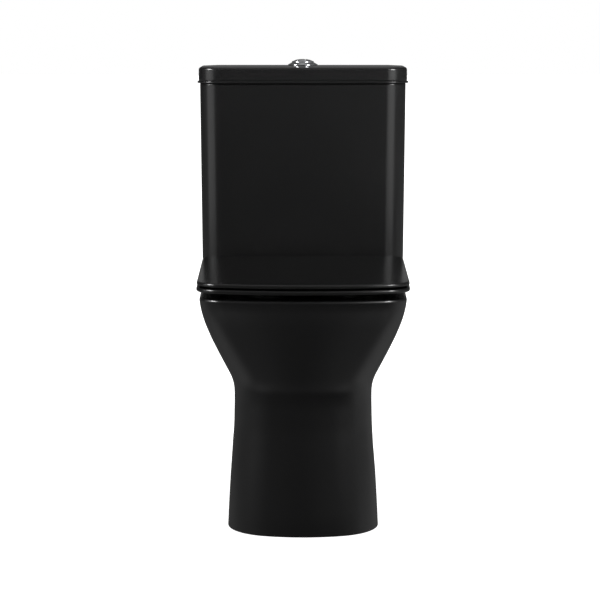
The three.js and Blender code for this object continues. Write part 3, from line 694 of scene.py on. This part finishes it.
def build_cistern_lid(glaze):
    """The lid: a lip over the body, a bead and a groove round its side, a hollow below and a locating rib."""
    low, high, plate = BODY_HIGH.z + 0.0003, COVER_HIGH.z, COVER_HIGH.z - 0.0092
    lip, foot = low - 0.0012, COVER_LOW.z
    cover = cover_loft("cover", fillet(
        [(0.010, low), (0.0052, low), (0.0046, lip), (0.0004, lip), (0, lip + 0.0030), (0.0034, lip + 0.0038),
         (0.0026, lip + 0.0064), (0.0030, high - 0.0024), (0.034, high - 0.0006), (0.066, high)],
        (0, 0.0003, 0.0003, 0.0010, 0.0014, 0.0006, 0.0012, 0.0050, 0.060, 0), 8,
    ))
    under = cover_loft("under", fillet(
        [(0.0120, low - 0.001), (0.0135, low + 0.004), (0.0145, plate), (0.040, plate)],
        (0, 0.002, 0.006, 0), 5,
    ))
    inside = plate + 0.001
    rib = cover_loft("rib", fillet(
        [(0.0225, foot), (0.0185, foot), (0.0182, inside), (0.0235, inside), (0.0238, foot), (0.0225, foot)],
        (0, 0.0015, 0, 0, 0.0015, 0), 4,
    )[:-1], looped=True)
    cut(cover, [under])
    join(cover, [rib])
    cut(cover, [rod("hole", 0.0205, (plate - 0.002, high + 0.001), (0, CISTERN_Y, 0), sides=96)])
    name, body = "cistern_cover_casting", "cistern_cover"
    return finish_piece(cover, name, body, glaze, ["cistern_lid"])


# ---- flush button ----
BUTTON_FOOT = COVER_HIGH.z + 0.0003


def build_bezel(chrome):
    foot, tail = BUTTON_FOOT, 0.757
    inner, neck, flange = 0.0182, 0.0197, 0.0276
    outline = fillet(
        [(inner, tail), (neck, tail), (neck, foot), (flange, foot), (flange, foot + 0.0012),
         (0.0222, foot + 0.0042), (0.0204, foot + 0.0050), (0.0202, foot + 0.0076), (inner, foot + 0.0076),
         (inner, tail)],
        (0, 0.0003, 0, 0.0003, 0.0008, 0.002, 0.0008, 0.0009, 0.0006, 0), 5,
    )
    bezel = turned("bezel", outline[:-1], (0, CISTERN_Y, 0), sides=128)
    finish_piece(bezel, "button_bezel_ring", "cistern_cover", chrome, ["button_bezel"], 40)


def build_button_part(chrome, node, body, name, cut_from, cut_to):
    """One part of the domed button: what lies between two values of x is cut off the dome."""
    base, top = BUTTON_FOOT + 0.0013, BUTTON_HIGH.z
    dome = fillet(
        [(0, base), (0.0178, base), (0.0178, top - 0.0043), (0.0168, top - 0.0030), (0.0130, top - 0.0014),
         (0.0070, top - 0.0003), (0, top)],
        (0, 0.0003, 0.0006, 0.002, 0.012, 0.016, 0), 5,
    )
    made = turned("button", dome, (0, CISTERN_Y, 0), sides=128)
    low, high = (cut_from, CISTERN_Y - 0.03, base - 0.001), (cut_to, CISTERN_Y + 0.03, top + 0.001)
    cut(made, [rounded_box("gap", low, high, 0.0005, 0.0002)])
    finish_piece(made, name, body, chrome, [node], 40)


def build_button(chrome):
    split, gap, beyond = BUTTON_HIGH.x, 0.0008, 0.03
    build_bezel(chrome)
    build_button_part(chrome, "button_full", "full_button", "button_full_press", split, beyond)
    build_button_part(chrome, "button_half", "half_button", "button_half_press", -beyond, split + gap)


# ---- small fittings ----
def build_hinge_posts(chrome):
    foot, disc_top, stem_radius = RIM + 0.0003, RIM + 0.0003 + 0.0042, 0.0064
    disc_path = [(0, foot), (0.014, foot), (0.014, disc_top), (0, disc_top)]
    disc = turned("disc", fillet(disc_path, (0, 0.0003, 0.0014, 0), 5), (HINGE_X, BOLT_Y, 0), sides=96)
    profile = [(HINGE_Y - 0.006, foot), (HINGE_Y + 0.006, foot)]
    for step in range(25):
        angle = math.pi * step / 24
        profile.append((HINGE_Y + stem_radius * math.cos(angle), HINGE_Z + stem_radius * math.sin(angle)))
    join(disc, [slab("stem", profile, (HINGE_X - 0.006, HINGE_X + 0.006), 0.0009, "X")])
    bolt = rod("bolt", 0.0034, (foot - 0.001, HINGE_Z), (HINGE_X, BOLT_Y, 0), sides=32)
    bore = rod("bore", 0.0033, (HINGE_X - 0.008, HINGE_X + 0.008), (0, HINGE_Y, HINGE_Z), "X", 32)
    cut(disc, [bolt, bore])
    for made, side in zip(both(disc), ("right", "left")):
        node = f"hinge_post_{side}"
        finish_piece(made, f"{node}_cast", "toilet_base", chrome, [node])


def build_buffers(rubber):
    for side in ("left", "right"):
        for place in ("front", "rear"):
            node = f"ring_buffer_{place}_{side}"
            low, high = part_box(node)
            pad = rounded_box("pad", low, high, 0.0055, 0.0016)
            finish_piece(pad, node + "_pad", "ring", rubber, [node])
            node = f"lid_buffer_{place}_{side}"
            low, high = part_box(node)
            centre = ((low.x + high.x) / 2, (low.y + high.y) / 2, 0)
            dot = rod("dot", (high.x - low.x) / 2, (low.z, high.z), centre, sides=48, edge=0.0008)
            finish_piece(dot, node + "_pad", "lid", rubber, [node])


def build_screw_caps(chrome):
    foot = CAP_FOOT
    profile = fillet(
        [(0, foot + 0.006), (0.0084, foot + 0.006), (0.0084, foot), (0.011, foot), (0.011, foot + 0.0042),
         (0.0092, foot + 0.0076), (0.005, foot + 0.0090), (0, foot + 0.0094)],
        (0, 0, 0, 0.0003, 0.003, 0.003, 0.006, 0), 5,
    )
    for side, x in (("left", -CAP_X), ("right", CAP_X)):
        cap, node = turned("cap", profile, (x, CAP_Y, 0), sides=72), f"screw_cap_{side}"
        finish_piece(cap, f"{node}_dome", "toilet_base", chrome, [node], 40)


# ---- materials ----
def material(name, color, roughness, metallic=0.0):
    made = bpy.data.materials.new(name)
    made.use_nodes = True
    shader = made.node_tree.nodes["Principled BSDF"]
    shader.inputs["Base Color"].default_value = (*color, 1)
    shader.inputs["Roughness"].default_value = roughness
    shader.inputs["Metallic"].default_value = metallic
    return made, made.node_tree, shader


def noise(tree, scale, detail=3.0, stretch=(1, 1, 1)):
    """A noise in object space, in features per metre."""
    nodes, links = tree.nodes, tree.links
    place = nodes.new("ShaderNodeTexCoord")
    mapping = nodes.new("ShaderNodeMapping")
    mapping.inputs["Scale"].default_value = stretch
    texture = nodes.new("ShaderNodeTexNoise")
    texture.inputs["Scale"].default_value = scale
    texture.inputs["Detail"].default_value = detail
    links.new(place.outputs["Object"], mapping.inputs["Vector"])
    links.new(mapping.outputs["Vector"], texture.inputs["Vector"])
    return texture.outputs["Fac"]


def vary(tree, value, socket, low, high):
    """Spreads a noise between two values of a socket."""
    spread = tree.nodes.new("ShaderNodeMapRange")
    spread.inputs["From Min"].default_value = 0.15
    spread.inputs["From Max"].default_value = 0.85
    spread.inputs["To Min"].default_value = low
    spread.inputs["To Max"].default_value = high
    tree.links.new(value, spread.inputs["Value"])
    tree.links.new(spread.outputs["Result"], socket)


def tint(tree, value, socket, first, second):
    mix = tree.nodes.new("ShaderNodeMix")
    mix.data_type = "RGBA"
    mix.inputs["A"].default_value = (*first, 1)
    mix.inputs["B"].default_value = (*second, 1)
    tree.links.new(value, mix.inputs["Factor"])
    tree.links.new(mix.outputs["Result"], socket)


def bumps(tree, value, shader, depth, strength=1.0):
    bump = tree.nodes.new("ShaderNodeBump")
    bump.inputs["Distance"].default_value = depth
    bump.inputs["Strength"].default_value = strength
    tree.links.new(value, bump.inputs["Height"])
    tree.links.new(bump.outputs["Normal"], shader.inputs["Normal"])


def glaze_material():
    """Satin black glaze: fine orange peel, faint clouding of the sheen."""
    made, tree, shader = material("satin_black_glaze", (0.009, 0.009, 0.0092), 0.3)
    shader.inputs["IOR"].default_value = 1.5
    vary(tree, noise(tree, 11, 1), shader.inputs["Roughness"], 0.22, 0.27)
    dark, light = (0.0082, 0.0082, 0.0084), (0.0104, 0.0104, 0.0106)
    tint(tree, noise(tree, 320, 2), shader.inputs["Base Color"], dark, light)
    bumps(tree, noise(tree, 90, 1), shader, 0.00002, 0.4)
    return made


def resin_material():
    """Black moulded resin of the seat: smoother than the glaze, with a very fine grain."""
    made, tree, shader = material("satin_black_resin", (0.010, 0.010, 0.010), 0.3)
    vary(tree, noise(tree, 14, 1), shader.inputs["Roughness"], 0.17, 0.21)
    dark, light = (0.0090, 0.0090, 0.0090), (0.0112, 0.0112, 0.0112)
    tint(tree, noise(tree, 500, 2), shader.inputs["Base Color"], dark, light)
    bumps(tree, noise(tree, 60, 1), shader, 0.000006, 0.3)
    return made


def chrome_material():
    made, tree, shader = material("polished_chrome", (0.78, 0.79, 0.81), 0.08, 1.0)
    vary(tree, noise(tree, 400, 3), shader.inputs["Roughness"], 0.05, 0.12)
    return made


def steel_material():
    made, tree, shader = material("plated_steel", (0.55, 0.55, 0.56), 0.35, 1.0)
    vary(tree, noise(tree, 600, 3), shader.inputs["Roughness"], 0.25, 0.42)
    bumps(tree, noise(tree, 1500, 2), shader, 0.00002, 0.4)
    return made


def brass_material():
    made, tree, shader = material("turned_brass", (0.62, 0.46, 0.17), 0.35, 1.0)
    tint(tree, noise(tree, 300, 3), shader.inputs["Base Color"], (0.55, 0.39, 0.14), (0.68, 0.51, 0.21))
    vary(tree, noise(tree, 500, 3), shader.inputs["Roughness"], 0.26, 0.42)
    return made


def rubber_material():
    made, tree, shader = material("black_rubber", (0.020, 0.020, 0.020), 0.75)
    tint(tree, noise(tree, 400, 3), shader.inputs["Base Color"], (0.016, 0.016, 0.016), (0.026, 0.026, 0.026))
    bumps(tree, noise(tree, 1400, 3), shader, 0.00004, 0.6)
    return made


def plastic_material(name, first, second):
    made, tree, shader = material(name, first, 0.42)
    tint(tree, noise(tree, 120, 3), shader.inputs["Base Color"], first, second)
    vary(tree, noise(tree, 200, 3), shader.inputs["Roughness"], 0.36, 0.48)
    bumps(tree, noise(tree, 1100, 2), shader, 0.00003, 0.5)
    return made


# ---- studio ----
def build_camera():
    """The photograph's view: a long lens a little above the cistern, tilted slightly down."""
    distance, height, tilt = 3.466, 0.883, math.radians(7.67)
    data = bpy.data.cameras.new("camera")
    data.lens, data.sensor_width = 128.4, 36
    data.clip_end = 30
    camera = bpy.data.objects.new("camera", data)
    camera.location = (-0.0053, FRONT - distance, height)
    camera.rotation_euler = (math.pi / 2 - tilt, 0, 0)
    bpy.context.scene.collection.objects.link(camera)
    bpy.context.scene.camera = camera


def area_light(name, place, target, size, power):
    data = bpy.data.lights.new(name, "AREA")
    data.shape = "RECTANGLE"
    data.size, data.size_y = size
    data.energy = power
    light = bpy.data.objects.new(name, data)
    light.location = place
    light.rotation_euler = (Vector(target) - Vector(place)).to_track_quat("-Z", "Y").to_euler()
    bpy.context.scene.collection.objects.link(light)
    return light


def calculate(nodes, links, operation, first, second):
    made = nodes.new("ShaderNodeMath")
    made.operation = operation
    links.new(first, made.inputs[0])
    if isinstance(second, float):
        made.inputs[1].default_value = second
    else:
        links.new(second, made.inputs[1])
    return made.outputs[0]


def curve(nodes, links, angle, stops):
    """A value that follows stops of (degrees, value), smoothly."""
    made = nodes.new("ShaderNodeValToRGB")
    made.color_ramp.interpolation = "EASE"
    points = made.color_ramp.elements
    while len(points) < len(stops):
        points.new(0.5)
    for point, (degrees, value) in zip(points, stops):
        point.position = degrees / 360 + 0.5
        point.color = (value, value, value, 1)
    share = calculate(nodes, links, "MULTIPLY", angle, 0.5 / math.pi)
    links.new(calculate(nodes, links, "ADD", share, 0.5), made.inputs["Fac"])
    return made.outputs["Color"]


def chosen(nodes, links, switch, off, on):
    """One value while the switch is 0, another while it is 1."""
    made = nodes.new("ShaderNodeMix")
    links.new(switch, made.inputs["Factor"])
    links.new(off, made.inputs["A"])
    links.new(on, made.inputs["B"])
    return made.outputs["Result"]


def ramp(nodes, links, value, low, high, first, last):
    made = nodes.new("ShaderNodeMapRange")
    made.interpolation_type = "SMOOTHSTEP"
    made.inputs["From Min"].default_value = low
    made.inputs["From Max"].default_value = high
    made.inputs["To Min"].default_value = first
    made.inputs["To Max"].default_value = last
    links.new(value, made.inputs["Value"])
    return made.outputs["Result"]


# Light of the room by angle from the front in degrees, positive to the right: as seen in upright faces, in
# faces that lean down, and off the floor.
LEVEL_LIGHT = (
    (-180, 0.25), (-165, 0.12), (-120, 0.06), (-95, 0.20), (-70, 0.36), (-50, 0.25), (-30, 0.14), (0, 0.08),
    (20, 0.15), (45, 0.30), (75, 0.35), (100, 0.25), (130, 0.12), (165, 0.12), (180, 0.25),
)
LOW_LIGHT = (
    (-180, 0.25), (-160, 0.12), (-115, 0.30), (-95, 0.28), (-75, 0.20), (-55, 0.16), (-40, 0.10), (-25, 0.05),
    (0, 0.0), (30, 0.0), (55, 0.06), (70, 0.22), (85, 0.50), (105, 0.50), (125, 0.40), (160, 0.14),
    (180, 0.25),
)
FLOOR_BOUNCE = (
    (-180, 0.0), (-140, 0.25), (-115, 0.34), (-90, 0.26), (-60, 0.34), (-35, 0.30), (-20, 0.13), (0, 0.09),
    (20, 0.15), (35, 0.32), (60, 0.38), (90, 0.30), (115, 0.42), (140, 0.30), (180, 0.0),
)


def room_light(nodes, links):
    """The strength of the white room by direction, as the glossy faces see it."""
    place = nodes.new("ShaderNodeTexCoord")
    split = nodes.new("ShaderNodeSeparateXYZ")
    links.new(place.outputs["Generated"], split.inputs["Vector"])
    height = split.outputs["Z"]
    ahead = calculate(nodes, links, "MULTIPLY", split.outputs["Y"], -1.0)
    turn = calculate(nodes, links, "ARCTAN2", split.outputs["X"], ahead)
    level, low, floor_bounce = (
        curve(nodes, links, turn, stops) for stops in (LEVEL_LIGHT, LOW_LIGHT, FLOOR_BOUNCE)
    )
    straight_down = ramp(nodes, links, height, -0.96, -0.75, 0.5, 1.2)
    floor_bounce = calculate(nodes, links, "MULTIPLY", floor_bounce, straight_down)
    above = ramp(nodes, links, height, 0.72, 0.97, 0.0, 0.6)
    to_floor = ramp(nodes, links, height, -0.45, -0.75, 0.0, 1.0)
    to_level = ramp(nodes, links, height, -0.17, -0.03, 0.0, 1.0)
    total = chosen(nodes, links, to_floor, low, floor_bounce)
    total = chosen(nodes, links, to_level, total, level)
    total = calculate(nodes, links, "MAXIMUM", total, above)
    path = nodes.new("ShaderNodeLightPath")
    fill = ramp(nodes, links, height, -0.9, 0.9, 0.66, 1.02)
    return chosen(nodes, links, path.outputs["Is Diffuse Ray"], total, fill), path.outputs["Is Camera Ray"]


def build_room():
    """A white room. The object sees it dim in front and behind, and brighter at each side and above."""
    world = bpy.data.worlds.new("studio")
    bpy.context.scene.world = world
    world.use_nodes = True
    nodes, links = world.node_tree.nodes, world.node_tree.links
    nodes.clear()
    strength, to_camera = room_light(nodes, links)
    light = nodes.new("ShaderNodeBackground")
    links.new(strength, light.inputs["Strength"])
    seen = nodes.new("ShaderNodeBackground")
    mix = nodes.new("ShaderNodeMixShader")
    seen.inputs["Color"].default_value = (1, 1, 1, 1)
    links.new(to_camera, mix.inputs["Fac"])
    links.new(light.outputs["Background"], mix.inputs[1])
    links.new(seen.outputs["Background"], mix.inputs[2])
    output = nodes.new("ShaderNodeOutputWorld")
    links.new(mix.outputs["Shader"], output.inputs["Surface"])


def build_floor():
    """A pale floor just under the foot. It doesn't light the object, since the room already does."""
    left, right, near, far, z = -9, 9, -12, 30, -0.0005
    corners = [(left, near, z), (right, near, z), (right, far, z), (left, far, z)]
    floor = mesh_object("floor", corners, [(0, 1, 2, 3)])
    paint, tree, shader = material("white_floor", (0.95, 0.95, 0.95), 0.9)
    tint(tree, noise(tree, 3, 3), shader.inputs["Base Color"], (0.94, 0.94, 0.94), (0.96, 0.96, 0.96))
    shader.inputs["Emission Color"].default_value = (1, 1, 1, 1)
    shader.inputs["Emission Strength"].default_value = 0.9
    floor.data.materials.append(paint)
    floor.visible_glossy = False
    floor.visible_diffuse = False


def build_lights():
    """At each side a strip beside the cistern and a softbox above it, and a wash on the cistern's front."""
    for angle, power in ((-69, 2.4), (47, 3.2)):
        side, front = math.sin(math.radians(angle)), math.cos(math.radians(angle))
        strip_place, strip_target = (1.4 * side, -1.4 * front, 0.72), (0.16 * side, 0.08, 0.7)
        strip = area_light("strip", strip_place, strip_target, (1.05, 0.85), power)
        strip.visible_diffuse = False
        softbox = area_light("softbox", (2.5 * side, -2.5 * front, 1.8), (0, 0, 0.6), (0.9, 0.9), 80.0)
        softbox.visible_diffuse = False
    wash = area_light("wash", (0, -1.3, 1.7), (0, 0.15, 0.80), (0.9, 0.5), 1.6)
    wash.visible_glossy = False
    wash.data.spread = math.radians(50)


build_camera()
glaze = glaze_material()
resin = resin_material()
chrome = chrome_material()
rubber = rubber_material()
cad_finishes = {
    "black_glaze": glaze,
    "black_seat_plastic": resin,
    "chrome": chrome,
    "steel": steel_material(),
    "brass": brass_material(),
    "rubber": rubber,
    "grey_plastic": plastic_material("grey_plastic", (0.20, 0.21, 0.22), (0.23, 0.24, 0.25)),
    "white_plastic": plastic_material("white_plastic", (0.74, 0.75, 0.73), (0.79, 0.79, 0.77)),
}
for part in frame["record"]["subparts"]:
    node = frame["nodes"][part["node"]]
    node.data.materials.clear()
    node.data.materials.append(cad_finishes[part["material_slot"]])

build_pan(glaze)
build_cistern_body(glaze)
build_cistern_lid(glaze)
build_seat_ring(resin)
build_seat_lid(resin)
build_button(chrome)
build_hinge_posts(chrome)
build_buffers(rubber)
build_screw_caps(chrome)
build_room()
build_floor()
build_lights()
bpy.context.scene.view_settings.view_transform = "Standard"
